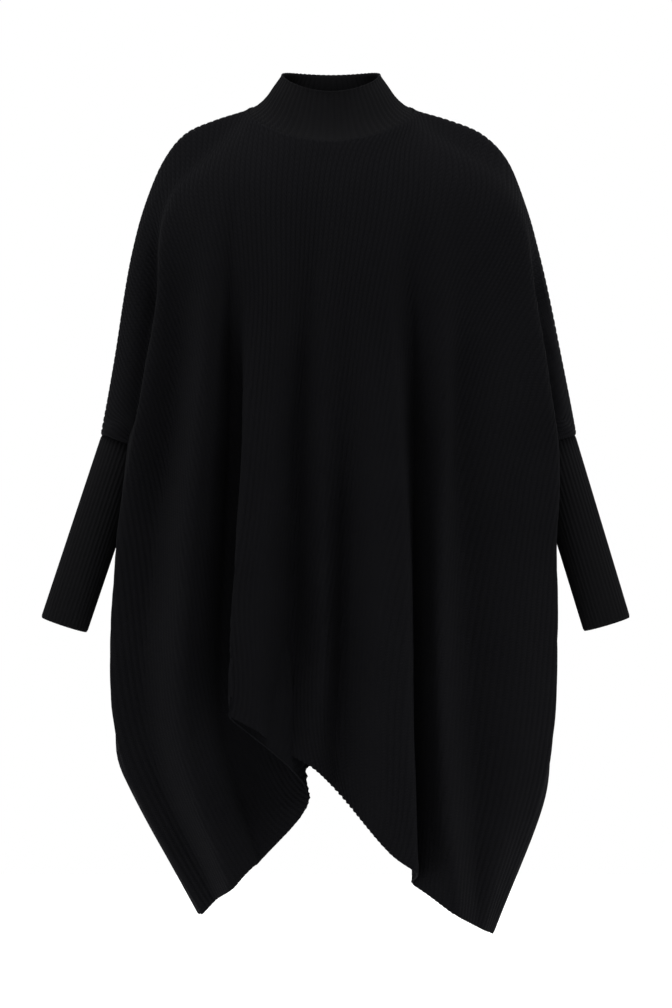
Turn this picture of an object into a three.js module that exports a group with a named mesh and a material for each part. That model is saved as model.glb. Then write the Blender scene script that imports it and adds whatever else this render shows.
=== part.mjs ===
// A knitted poncho sweater, worn: a wide front and back panel that hang in deep folds to two
// points, a flared ribbed collar and two slim ribbed sleeves. Millimetres, +Z up, the front
// faces -Y. The origin is the middle of the neck, between the shoulders that carry the cloth.
import * as THREE from 'three';

// Cloth and seams.
const WALL = 2.2;
const HALF_SEAM = 0.15;
const RIB_HEIGHT = 0.9;

// Collar: how far the cloth climbs at the neck seam for each step in, the ring where the collar
// is linked to the panels, and its upper rim. Heights are at the front, the sides and the back.
const COLLAR_RIBS = 62;
const COLLAR_CENTRE_X = -2.5;
const NECK_SLOPE = 1.05;
const NECK_SEAM = { half: 104, front: 82, back: 72, zFront: -38, zSide: 9, zBack: 18 };
const COLLAR_RIM = { half: 61, front: 57, back: 52, zFront: 26, zSide: 54, zBack: 60 };

// The collar's form between its rings: how much wider and deeper than the rim it is, as a share
// of the seam's excess, by its rise from the seam to the rim.
const COLLAR_PROFILE = table(['rise', 'wide', 'deep'], {
  seam: [0, 1, 1],
  flare: [0.12, 0.73, 0.6],
  cone: [0.36, 0.47, 0.2],
  stand: [0.68, 0.24, 0.02],
  rim: [1, 0, 0.04],
});

// Sleeves: the seam's middle, the way that the sleeve points, its length and its half widths.
const SLEEVE_RIBS = 36;
const SLEEVE_ROWS = 4;
const SEAM_STEPS = 6;
const SLEEVE_SEAM_HALF = 31;
const SLEEVE_CUFF_HALF = 30.3;
const SLEEVE_DEPTH = 1.06;
const SLEEVES = {
  left: { side: -1, x: -259.6, z: -405, lean: 18.5, length: 241 },
  right: { side: 1, x: 272.8, z: -404, lean: 16.9, length: 239 },
};

// Rows of a panel, and the height of each level that the fold lines are given at. The thigh lies
// a share of the way from the hip to the hem.
const ROWS = { neck: 0, yoke: 4, chest: 9, elbow: 16, hip: 21, thigh: 26, hem: 31 };
const LAST_ROW = ROWS.hem;
const SEAM_TOP_ROW = ROWS.elbow - SEAM_STEPS / 2;
const UNDERARM_ROW = ROWS.elbow + SEAM_STEPS / 2;
const LEVEL_Z = { yoke: -105, chest: -240, elbow: -405, hip: -535 };
const THIGH_SHARE = 0.55;

// Columns for each of the three steps that lead from a panel's edge to its first fold lines, and
// how often a search for a height halves its range.
const EDGE_STEPS = 2;
const HALVINGS = 30;

// How fast the edge turns from the sleeve's side to straight down past the underarm.
const UNDERARM_TURN = 1.5;

// Both panels meet in the plane Y = 0: along the shoulder and the outer arm, round the sleeve's
// seam, and down the side to the point of the hem. Each place on that line is [x, z].
const SHOULDER = {
  left: [[-106.5, 9], [-149, -4], [-184, -20], [-209, -50], [-234, -110], [-250, -170],
    [-261, -230], [-270, -290], [-280, -350]],
  right: [[101.5, 9], [147, -4], [185, -20], [215, -50], [239, -110], [256, -170],
    [270, -230], [282, -290], [294, -350]],
};
const SIDE = {
  left: [[-228, -442], [-237, -482], [-254, -530], [-268, -578], [-272, -640], [-272, -690],
    [-270, -740], [-268, -800], [-254, -834], [-167, -995]],
  right: [[241, -440], [249, -482], [265, -530], [275, -578], [275, -640], [272, -720],
    [270, -785], [264, -848], [199, -1019]],
};

// How far the upper arm's rounding stands out between the seam line and the arm's fold.
const ARM_ROUNDING = [[0, 0], [4, 9], [9, 16], [13, 14], [16, 5], [19, 10], [23, 8], [31, 0]];

// How far that rounding is tucked in towards the body, clear of the sleeve under the arm.
const ARM_TUCK = [[0, 0], [15, 0], [18, 8], [19, 12], [23, 6], [27, 0], [31, 0]];

// How far the arm's fold lies above the seam line beside it, so that it passes over the sleeve.
const ARM_LIFT = [[0, 0], [5, 0], [13, 24], [19, 26], [25, 0], [31, 0]];

// A row for each fold line of the front, left to right as seen from the front: the columns up
// to the next line, how much the line's height follows the arm beside it, its height at the
// hem, then x and y at each level.
const FOLD_COLUMNS = ['steps', 'arm', 'zHem', 'xYoke', 'xChest', 'xElbow', 'xHip', 'xThigh', 'xHem',
  'yYoke', 'yChest', 'yElbow', 'yHip', 'yThigh', 'yHem'];
const FRONT_LINES = table(FOLD_COLUMNS, {
  armHollowLeft: [2, 0.85, -989, -205, -221, -247, -262, -262, -164, -40, -30, -40, -34, -26, -18],
  armFoldLeft: [2, 0.5, -984, -194, -211, -238, -257, -256, -157, -62, -70, -76, -60, -50, -34],
  softHollow: [2, 0, -970, -170, -184, -200, -218, -224, -143, -82, -78, -72, -66, -58, -50],
  leftRidge: [1, 0, -952, -136, -152, -165, -177, -182, -123, -98, -112, -119, -118, -107, -88],
  leftWall: [1, 0, -934, -127, -140, -146, -152, -158, -106, -101, -109, -110, -104, -94, -82],
  underLayer: [2, 0, -915, -117, -127, -127, -128, -128, -86, -102, -98, -74, -64, -62, -68],
  deepFoldRoot: [3, 0, -841, -107, -116, -102, -80, -46, -29, -105, -104, -70, -64, -70, -78],
  deepFoldEdge: [2, 0, -741, -96, -101, -105, -114, -121, -123, -107, -116, -132, -138, -140, -138],
  centrePanel: [2, 0, -757, -62, -70, -76, -84, -88, -91, -110, -123, -131, -133, -132, -131],
  centreHollow: [2, 0, -780, -22, -33, -43, -47, -52, -68, -110, -110, -98, -84, -74, -90],
  slimRidge: [2, 0, -803, -3, -9, -13, -12, -12, -25, -111, -122, -122, -113, -99, -106],
  slimHollow: [2, 0, -834, 17, 18, 17, 15, 11, 6, -111, -118, -111, -94, -79, -95],
  broadRidge: [2, 0, -906, 42, 48, 52, 54, 58, 71, -110, -125, -134, -139, -140, -137],
  rightFoldEdge: [2, 0, -928, 60, 67, 79, 87, 91, 99, -109, -123, -133, -136, -136, -131],
  rightFoldRoot: [1, 0, -948, 82, 94, 98, 98, 99, 100, -105, -102, -80, -72, -72, -82],
  rightFoldWall: [1, 0, -962, 96, 110, 116, 116, 117, 120, -103, -106, -103, -98, -96, -94],
  rightRidge: [2, 0, -981, 112, 130, 134, 131, 134, 148, -100, -112, -120, -122, -117, -110],
  rightHollow: [2, 0, -999, 140, 154, 153, 158, 170, 174, -92, -98, -94, -89, -84, -76],
  rightPanel: [3, 0, -1007, 174, 197, 205, 213, 220, 186, -82, -90, -96, -92, -84, -60],
  armFoldRight: [2, 0.5, -1012, 214, 242, 265, 266, 259, 193, -62, -70, -76, -60, -50, -36],
  armHollowRight: [2, 0.85, -1015, 228, 252, 273, 269, 264, 196, -40, -30, -40, -34, -26, -18],
});

// The same for the back, where soft folds fall from the shoulder blades.
const BACK_LINES = table(FOLD_COLUMNS, {
  armHollowLeft: [2, 0.85, -989, -205, -221, -247, -259, -258, -164, 42, 36, 44, 34, 26, 18],
  armFoldLeft: [2, 0.5, -981, -192, -212, -242, -256, -252, -158, 64, 70, 74, 60, 50, 34],
  hollow1: [2, 0, -956, -160, -180, -200, -220, -218, -141, 84, 83, 82, 79, 72, 56],
  ridge1: [2, 0, -922, -128, -144, -160, -174, -172, -118, 97, 105, 113, 118, 110, 88],
  hollow2: [2, 0, -886, -98, -108, -118, -128, -124, -92, 100, 99, 96, 98, 94, 82],
  ridge2: [2, 0, -852, -66, -73, -78, -84, -82, -64, 104, 111, 118, 125, 123, 108],
  hollow3: [2, 0, -822, -35, -38, -40, -43, -44, -36, 104, 103, 102, 104, 102, 96],
  ridge3: [2, 0, -804, -4, -4, -4, -6, -8, -6, 106, 110, 115, 122, 124, 116],
  hollow4: [2, 0, -802, 29, 32, 34, 33, 30, 26, 105, 102, 100, 102, 102, 98],
  ridge4: [2, 0, -826, 61, 68, 74, 76, 74, 60, 104, 112, 120, 127, 127, 116],
  hollow5: [2, 0, -864, 92, 104, 114, 118, 116, 96, 101, 98, 96, 98, 98, 90],
  ridge5: [2, 0, -913, 124, 142, 158, 166, 168, 134, 96, 105, 113, 119, 112, 90],
  hollow6: [2, 0, -960, 162, 184, 206, 218, 222, 165, 84, 84, 84, 82, 74, 58],
  armFoldRight: [2, 0.5, -1004, 214, 242, 266, 264, 256, 190, 64, 70, 74, 60, 50, 36],
  armHollowRight: [2, 0.85, -1014, 228, 252, 273, 267, 262, 196, 42, 36, 44, 34, 26, 18],
});

function table(columns, rows) {
  return Object.values(rows).map((row) => Object.fromEntries(columns.map((name, i) => [name, row[i]])));
}

// A smooth line through points. A place of 0 is the first of them and 1 is the second.
function smooth(points) {
  const curve = new THREE.CatmullRomCurve3(points, false, 'centripetal');
  return (place) => curve.getPoint(place / (points.length - 1));
}

// The same line by its length: 0 is its start and 1 is its end.
function evenly(points) {
  const curve = new THREE.CatmullRomCurve3(points, false, 'centripetal');
  return (share) => curve.getPointAt(share);
}

// The place where a falling line has a given height.
function atHeight(line, start, end, z) {
  let [above, below] = [start, end];
  for (let halving = 0; halving < HALVINGS; halving += 1) {
    const middle = (above + below) / 2;
    if (line(middle).z > z) above = middle;
    else below = middle;
  }
  return line(above);
}

// A height all round a ring, from its values at the front, the sides and the back.
function ringHeight(ring, sine) {
  const slope = (ring.zBack - ring.zFront) / 2;
  const bend = (ring.zBack + ring.zFront) / 2 - ring.zSide;
  return ring.zSide + slope * sine + bend * sine * sine;
}

// A place on the collar at an angle round the neck. rise is 0 at its seam and 1 at its rim.
function collarPoint(angle, rise) {
  const sine = Math.sin(angle);
  const shareOf = (way) => stepValue(COLLAR_PROFILE.map((place) => [place.rise, place[way]]), rise);
  const side = sine < 0 ? 'front' : 'back';
  const half = THREE.MathUtils.lerp(COLLAR_RIM.half, NECK_SEAM.half, shareOf('wide'));
  const depth = THREE.MathUtils.lerp(COLLAR_RIM[side], NECK_SEAM[side], shareOf('deep'));
  const low = ringHeight(NECK_SEAM, sine);
  const high = ringHeight(COLLAR_RIM, sine);
  return new THREE.Vector3(
    COLLAR_CENTRE_X + half * Math.cos(angle),
    depth * sine,
    low + (high - low) * rise,
  );
}

// The way out of the cloth at the neck seam, shared by the collar and both panels.
function neckNormal(angle) {
  return new THREE.Vector3(Math.cos(angle), Math.sin(angle), NECK_SLOPE).normalize();
}

// The way down the cloth at the neck seam, across the seam.
function neckFall(angle) {
  const out = new THREE.Vector3(Math.cos(angle), Math.sin(angle), 0);
  return out.multiplyScalar(NECK_SLOPE).setZ(-1).normalize();
}

// The way that a sleeve points, and the way out across it in the plane Y = 0.
function sleeveAxes({ side, lean }) {
  const angle = THREE.MathUtils.degToRad(lean);
  return {
    down: new THREE.Vector3(side * Math.sin(angle), 0, -Math.cos(angle)),
    out: new THREE.Vector3(side * Math.cos(angle), 0, Math.sin(angle)),
  };
}

// The way out of a sleeve at a turn round it. 0 is its outer side and a half turn its inner one.
function sleeveNormal(sleeve, turn, face) {
  const { out } = sleeveAxes(sleeve);
  return out.clone().multiplyScalar(Math.cos(turn)).add(new THREE.Vector3(0, face * Math.sin(turn), 0));
}

function sleevePoint(sleeve, turn, face, along) {
  const { down, out } = sleeveAxes(sleeve);
  const half = THREE.MathUtils.lerp(SLEEVE_SEAM_HALF, SLEEVE_CUFF_HALF, along);
  return new THREE.Vector3(sleeve.x, 0, sleeve.z)
    .addScaledVector(down, sleeve.length * along)
    .addScaledVector(out, half * Math.cos(turn))
    .add(new THREE.Vector3(0, face * half * SLEEVE_DEPTH * Math.sin(turn), 0));
}

// The edge of a panel on one side: a place for each row. face is -1 in front and 1 behind.
function panelEdge(name, face) {
  const sleeve = SLEEVES[name];
  const inPlane = ([x, z]) => new THREE.Vector3(x, 0, z);
  const seamTop = sleevePoint(sleeve, 0, face, 0);
  const underarm = sleevePoint(sleeve, Math.PI, face, 0);
  const shoulder = evenly([...SHOULDER[name].map(inPlane), seamTop]);
  const side = evenly([underarm, ...SIDE[name].map(inPlane)]);
  const edge = [];
  for (let row = 0; row <= LAST_ROW; row += 1) {
    if (row < SEAM_TOP_ROW) {
      edge.push(shoulder(row / SEAM_TOP_ROW));
    } else if (row <= UNDERARM_ROW) {
      const turn = ((row - SEAM_TOP_ROW) / SEAM_STEPS) * Math.PI;
      edge.push(sleevePoint(sleeve, turn, face, 0));
    } else {
      edge.push(side((row - UNDERARM_ROW) / (LAST_ROW - UNDERARM_ROW)));
    }
  }
  return edge;
}

// A value read off a short list of [row, value] steps.
function stepValue(steps, row) {
  const next = Math.max(1, steps.findIndex(([at]) => at >= row));
  const [fromRow, from] = steps[next - 1];
  const [toRow, to] = steps[next];
  return from + ((to - from) * (row - fromRow)) / (toRow - fromRow);
}

// A row's place between the levels: 0 at the neck, 1 at the yoke and so on to the hem.
function levelOf(row) {
  return stepValue(Object.values(ROWS).map((at, level) => [at, level]), row);
}

// The angle round the neck of a place across a panel, from 0 on the left to 1 on the right.
function neckAngle(across, face) {
  return Math.PI - face * across * Math.PI;
}

// All fold lines of a panel as one place for each row, from edge to edge.
function panelLines(lines, face) {
  const count = lines.reduce((sum, line) => sum + line.steps, 0) + 3 * EDGE_STEPS;
  const left = panelEdge('left', face);
  const right = panelEdge('right', face);
  let column = 2 * EDGE_STEPS;
  const inner = lines.map((line, index) => {
    const across = column / count;
    column += line.steps;
    const zThigh = THREE.MathUtils.lerp(LEVEL_Z.hip, line.zHem, THIGH_SHARE);
    const levels = smooth([
      collarPoint(neckAngle(across, face), 0),
      new THREE.Vector3(line.xYoke, line.yYoke, LEVEL_Z.yoke),
      new THREE.Vector3(line.xChest, line.yChest, LEVEL_Z.chest),
      new THREE.Vector3(line.xElbow, line.yElbow, LEVEL_Z.elbow),
      new THREE.Vector3(line.xHip, line.yHip, LEVEL_Z.hip),
      new THREE.Vector3(line.xThigh, line.yThigh, zThigh),
      new THREE.Vector3(line.xHem, line.yHem, line.zHem),
    ]);
    const edge = index < lines.length / 2 ? left : right;
    return edge.map((beside, row) => {
      const place = levels(levelOf(row));
      const follow = line.arm * Math.min(1, Math.min(row, LAST_ROW - row) / ROWS.yoke);
      if (follow === 0) return place;
      const z = place.z + follow * (beside.z + stepValue(ARM_LIFT, row) - place.z);
      return atHeight(levels, 0, levelOf(LAST_ROW), z);
    });
  });
  const rounded = (edge, hollow) => edge.map((beside, row) => {
    const place = beside.clone().lerp(hollow[row], 0.5);
    place.x -= Math.sign(place.x) * stepValue(ARM_TUCK, row);
    place.y += face * stepValue(ARM_ROUNDING, row);
    return place;
  });
  return [
    { steps: EDGE_STEPS, places: left },
    { steps: EDGE_STEPS, places: rounded(left, inner[0]) },
    ...inner.map((places, index) => ({ steps: lines[index].steps, places })),
    { steps: EDGE_STEPS, places: rounded(right, inner[inner.length - 1]) },
    { steps: 0, places: right },
  ];
}

// A panel's outer face as rows of places, each row a smooth line over the fold lines.
function panelRows(lines, face) {
  const all = panelLines(lines, face);
  const columns = all.reduce((sum, line) => sum + line.steps, 0);
  const mirrored = (place) => new THREE.Vector3(place.x, -place.y, place.z);
  const rows = [];
  for (let row = 0; row <= LAST_ROW; row += 1) {
    if (row === 0) {
      const neck = [];
      for (let column = 0; column <= columns; column += 1) {
        neck.push(collarPoint(neckAngle(column / columns, face), 0));
      }
      rows.push(neck);
      continue;
    }
    const at = all.map((line) => line.places[row]);
    const across = smooth([mirrored(at[1]), ...at, mirrored(at[at.length - 2])]);
    const places = [];
    all.forEach((line, index) => {
      for (let step = 0; step < line.steps; step += 1) {
        places.push(across(1 + index + step / line.steps));
      }
    });
    places.push(at[at.length - 1].clone());
    rows.push(places);
  }
  return rows;
}

// The way out of the cloth at each place of a sheet of rows, from its neighbours.
function rowNormals(rows, face, closed) {
  const last = rows.length - 1;
  return rows.map((places, row) => places.map((place, column) => {
    const count = places.length;
    const before = closed ? (column + count - 1) % count : Math.max(0, column - 1);
    const after = closed ? (column + 1) % count : Math.min(count - 1, column + 1);
    const across = places[after].clone().sub(places[before]);
    const down = rows[Math.min(last, row + 1)][column].clone().sub(rows[Math.max(0, row - 1)][column]);
    return across.cross(down).multiplyScalar(face).normalize();
  }));
}

// A closed wall between an outer and an inner sheet of rows. closed joins the last column of
// each row to its first.
function wall(outer, inner, closed) {
  const rows = outer.length;
  const columns = outer[0].length;
  const positions = [...outer, ...inner].flat().flatMap((place) => place.toArray());
  const at = (sheet, row, column) => (sheet * rows + row) * columns + (column % columns);
  const indices = [];
  const quad = (a, b, c, d) => indices.push(a, b, c, a, c, d);
  const spans = closed ? columns : columns - 1;
  for (let row = 0; row < rows - 1; row += 1) {
    for (let column = 0; column < spans; column += 1) {
      for (const sheet of [0, 1]) {
        const corners = [
          at(sheet, row, column),
          at(sheet, row + 1, column),
          at(sheet, row + 1, column + 1),
          at(sheet, row, column + 1),
        ];
        quad(...(sheet === 0 ? corners : corners.reverse()));
      }
    }
  }
  for (let column = 0; column < spans; column += 1) {
    quad(at(0, 0, column), at(0, 0, column + 1), at(1, 0, column + 1), at(1, 0, column));
    const end = rows - 1;
    quad(at(0, end, column + 1), at(0, end, column), at(1, end, column), at(1, end, column + 1));
  }
  for (let row = 0; row < rows - 1 && !closed; row += 1) {
    const end = columns - 1;
    quad(at(0, row + 1, 0), at(0, row, 0), at(1, row, 0), at(1, row + 1, 0));
    quad(at(0, row, end), at(0, row + 1, end), at(1, row + 1, end), at(1, row, end));
  }
  if (volume(positions, indices) < 0) indices.reverse();
  const geometry = new THREE.BufferGeometry();
  geometry.setAttribute('position', new THREE.Float32BufferAttribute(positions, 3));
  geometry.setIndex(indices);
  geometry.computeVertexNormals();
  return geometry;
}

// The volume inside a closed mesh. It is negative where the faces point in.
function volume(positions, indices) {
  const corner = (i) => new THREE.Vector3().fromArray(positions, indices[i] * 3);
  let sum = 0;
  for (let i = 0; i < indices.length; i += 3) {
    sum += corner(i).dot(corner(i + 1).cross(corner(i + 2))) / 6;
  }
  return sum;
}

function offset(rows, normals, distance) {
  return rows.map((places, row) => places.map((place, column) => (
    place.clone().addScaledVector(normals[row][column], distance))));
}

// The way out of the cloth along a panel's edge, kept in the plane of the seam. Near the
// underarm it turns from the sleeve's side to straight down the sleeve.
function setEdgeNormals(normals, column, name, face) {
  const sleeve = SLEEVES[name];
  const { down } = sleeveAxes(sleeve);
  for (let row = 1; row <= LAST_ROW; row += 1) {
    const normal = normals[row][column];
    if (row >= SEAM_TOP_ROW && row <= UNDERARM_ROW) {
      const turn = ((row - SEAM_TOP_ROW) / SEAM_STEPS) * Math.PI;
      const tip = Math.max(0, UNDERARM_TURN * turn - Math.PI);
      normal.copy(sleeveNormal(sleeve, turn, face)).multiplyScalar(Math.cos(tip));
      normal.addScaledVector(down, Math.sin(tip)).normalize();
    } else {
      normal.y = 0;
      normal.normalize();
    }
  }
}

function panel(lines, face) {
  const rows = panelRows(lines, face);
  const normals = rowNormals(rows, face, false);
  const last = rows[0].length - 1;
  rows[0].forEach((place, column) => {
    const angle = neckAngle(column / last, face);
    normals[0][column].copy(neckNormal(angle));
    place.addScaledVector(neckFall(angle), HALF_SEAM);
  });
  setEdgeNormals(normals, 0, 'left', face);
  setEdgeNormals(normals, last, 'right', face);
  const inner = offset(rows, normals, -WALL);
  [rows, inner].forEach((sheet) => sheet.forEach((places) => {
    places[0].y += face * HALF_SEAM;
    places[last].y += face * HALF_SEAM;
  }));
  return wall(rows, inner, false);
}

// A ribbed tube: every second column is a rib's top and those between are grooves, over a
// plain inside.
function ribbedTube(tops, normals) {
  const ribbed = tops.map((places, row) => places.map((place, column) => (
    place.clone().addScaledVector(normals[row][column], column % 2 === 1 ? 0 : -RIB_HEIGHT))));
  return wall(ribbed, offset(tops, normals, -RIB_HEIGHT - WALL), true);
}

function collar() {
  const columns = COLLAR_RIBS * 2;
  const angles = Array.from({ length: columns }, (_, column) => (column / columns) * 2 * Math.PI);
  const rows = COLLAR_PROFILE.map(({ rise }) => angles.map((angle) => collarPoint(angle, rise)));
  const normals = rowNormals(rows, 1, true);
  rows[0].forEach((place, column) => {
    normals[0][column].copy(neckNormal(angles[column]));
    place.addScaledVector(neckFall(angles[column]), -HALF_SEAM);
  });
  return ribbedTube(rows, normals);
}

function sleeve(name) {
  const shape = SLEEVES[name];
  const { down } = sleeveAxes(shape);
  const columns = SLEEVE_RIBS * 2;
  const rows = [];
  const normals = [];
  for (let row = 0; row <= SLEEVE_ROWS; row += 1) {
    const turns = Array.from({ length: columns }, (_, column) => (column / columns) * 2 * Math.PI);
    const gap = row === 0 ? 2 * HALF_SEAM : 0;
    rows.push(turns.map((turn) => (
      sleevePoint(shape, turn, 1, row / SLEEVE_ROWS).addScaledVector(down, gap))));
    normals.push(turns.map((turn) => sleeveNormal(shape, turn, 1)));
  }
  return ribbedTube(rows, normals);
}

const knit = (name, color) => new THREE.MeshStandardMaterial({ name, color, roughness: 0.92, metalness: 0 });
const panelKnit = knit('panel knit', 0x14151a);
const ribKnit = knit('rib knit', 0x1b1c20);

const group = new THREE.Group();
const pieces = [
  ['collar', collar(), ribKnit],
  ['front', panel(FRONT_LINES, -1), panelKnit],
  ['back', panel(BACK_LINES, 1), panelKnit],
  ['sleeve_left', sleeve('left'), ribKnit],
  ['sleeve_right', sleeve('right'), ribKnit],
];
for (const [name, geometry, material] of pieces) {
  const mesh = new THREE.Mesh(geometry, material);
  mesh.name = name;
  group.add(mesh);
}

export default group;
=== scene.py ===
# %% [markdown]
# # A knitted poncho sweater
#
# The garment is a wide black ribbed knit, worn. Five pieces are linked together: a collar, a
# front, a back and two sleeves. This lesson knits each piece flat, as a grid, and then hangs it
# on the worn form, so that its ribs run over the folds as they do on the real cloth.

# %% Load the frame
import math

import bmesh
import bpy
import numpy as np
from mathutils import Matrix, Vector, noise
from mathutils.bvhtree import BVHTree


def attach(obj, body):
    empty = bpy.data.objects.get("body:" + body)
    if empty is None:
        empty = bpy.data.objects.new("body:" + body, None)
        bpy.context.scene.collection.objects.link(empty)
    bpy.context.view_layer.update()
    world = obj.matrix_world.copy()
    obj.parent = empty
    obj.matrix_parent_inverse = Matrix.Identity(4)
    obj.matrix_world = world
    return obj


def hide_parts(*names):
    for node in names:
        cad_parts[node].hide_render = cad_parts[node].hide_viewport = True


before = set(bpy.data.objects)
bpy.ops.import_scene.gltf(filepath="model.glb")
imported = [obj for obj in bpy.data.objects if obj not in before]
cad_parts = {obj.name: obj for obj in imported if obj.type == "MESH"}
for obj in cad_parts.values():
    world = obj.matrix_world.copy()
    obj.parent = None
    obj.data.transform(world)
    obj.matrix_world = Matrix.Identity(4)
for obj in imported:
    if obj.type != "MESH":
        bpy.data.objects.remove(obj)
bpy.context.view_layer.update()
print("nodes:", sorted(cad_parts))

# %% [markdown]
# ## The camera
#
# The camera stands level with the middle of the garment, 4 m in front of it, as a studio camera
# with a long lens does. A near camera would make the middle of the cloth look larger than the
# sleeves and the hem points, and a view without perspective would be flatter than the real one.
# The camera comes first, because everything after it is judged through it.

# %% Camera
MM = 0.001
PHOTO_SIZE = (672, 1008)
METRES_PER_PIXEL = 1.25 * MM
CAMERA_DISTANCE = 4.0
CAMERA_X = 3.75 * MM
CAMERA_Z = -482.5 * MM
SENSOR = 36.0

camera_data = bpy.data.cameras.new("camera")
camera_data.sensor_width = SENSOR
camera_data.lens = SENSOR * CAMERA_DISTANCE / (PHOTO_SIZE[1] * METRES_PER_PIXEL)
camera = bpy.data.objects.new("camera", camera_data)
camera.location = (CAMERA_X, -CAMERA_DISTANCE, CAMERA_Z)
camera.rotation_euler = (math.radians(90), 0, 0)
bpy.context.collection.objects.link(camera)
bpy.context.scene.camera = camera
print("lens", round(camera_data.lens, 1), "mm")

# %% [markdown]
# ## Sizes of the worn form
#
# The form is the one that the solids have: the collar's rings, the sleeves' tubes and the line
# where front and back meet. That line runs over the shoulder and down the outer arm, half round
# the sleeve's seam, and down the side to the point of the hem. The pieces could be copied from
# the solids, but those have too few points to carry fine ribs, so the same form is worked out
# again at any fineness. It is written in millimetres, as a pattern cutter would.

# %% Sizes
COLLAR_RIBS = 62
COLLAR_CENTRE_X = -2.5
NECK_SEAM = {"half": 104, "front": 82, "back": 72, "z_front": -38, "z_side": 9, "z_back": 18}
COLLAR_RIM = {"half": 61, "front": 57, "back": 52, "z_front": 26, "z_side": 54, "z_back": 60}

# The collar between its rings: its rise, and how much wider and deeper than the rim it is there,
# as a share of the seam's excess.
COLLAR_PROFILE = {
    "seam": (0, 1, 1),
    "flare": (0.12, 0.73, 0.6),
    "cone": (0.36, 0.47, 0.2),
    "stand": (0.68, 0.24, 0.02),
    "rim": (1, 0, 0.04),
}

SLEEVE_RIBS = 36
SLEEVE_SEAM_HALF = 31
SLEEVE_CUFF_HALF = 30.3
SLEEVE_DEPTH = 1.06
SLEEVES = {
    "left": {"side": -1, "x": -259.6, "z": -405, "lean": 18.5, "length": 241},
    "right": {"side": 1, "x": 272.8, "z": -404, "lean": 16.9, "length": 239},
}

# A panel's rows at each level, the rows where the sleeve's seam starts and ends, and the heights
# of the yoke, chest, elbow and hip. The thigh lies a share of the way from the hip to the hem.
NECK, YOKE, CHEST, ELBOW, HIP, THIGH, HEM = 0, 4, 9, 16, 21, 26, 31
LEVELS = (NECK, YOKE, CHEST, ELBOW, HIP, THIGH, HEM)
SEAM_TOP, UNDERARM = 13, 19
LEVEL_Z = (-105, -240, -405, -535)
HIP_Z = LEVEL_Z[-1]
THIGH_SHARE = 0.55

# The line where front and back meet, as (x, z) from the neck to the elbow and from the underarm
# to the point of the hem.
SHOULDER = {
    "left": [(-106.5, 9), (-149, -4), (-184, -20), (-209, -50), (-234, -110), (-250, -170),
             (-261, -230), (-270, -290), (-280, -350)],
    "right": [(101.5, 9), (147, -4), (185, -20), (215, -50), (239, -110), (256, -170),
              (270, -230), (282, -290), (294, -350)],
}
SIDE = {
    "left": [(-228, -442), (-237, -482), (-254, -530), (-268, -578), (-272, -640), (-272, -690),
             (-270, -740), (-268, -800), (-254, -834), (-167, -995)],
    "right": [(241, -440), (249, -482), (265, -530), (275, -578), (275, -640), (272, -720),
              (270, -785), (264, -848), (199, -1019)],
}

# Steps of (row, millimetres): how far the upper arm's rounding stands out, how far it is tucked
# in clear of the sleeve, and how far the arm's fold lies above the seam line beside it.
ARM_ROUNDING = [(0, 0), (4, 9), (9, 16), (13, 14), (16, 5), (19, 10), (23, 8), (31, 0)]
ARM_TUCK = [(0, 0), (15, 0), (18, 8), (19, 12), (23, 6), (27, 0), (31, 0)]
ARM_LIFT = [(0, 0), (5, 0), (13, 24), (19, 26), (25, 0), (31, 0)]
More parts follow.
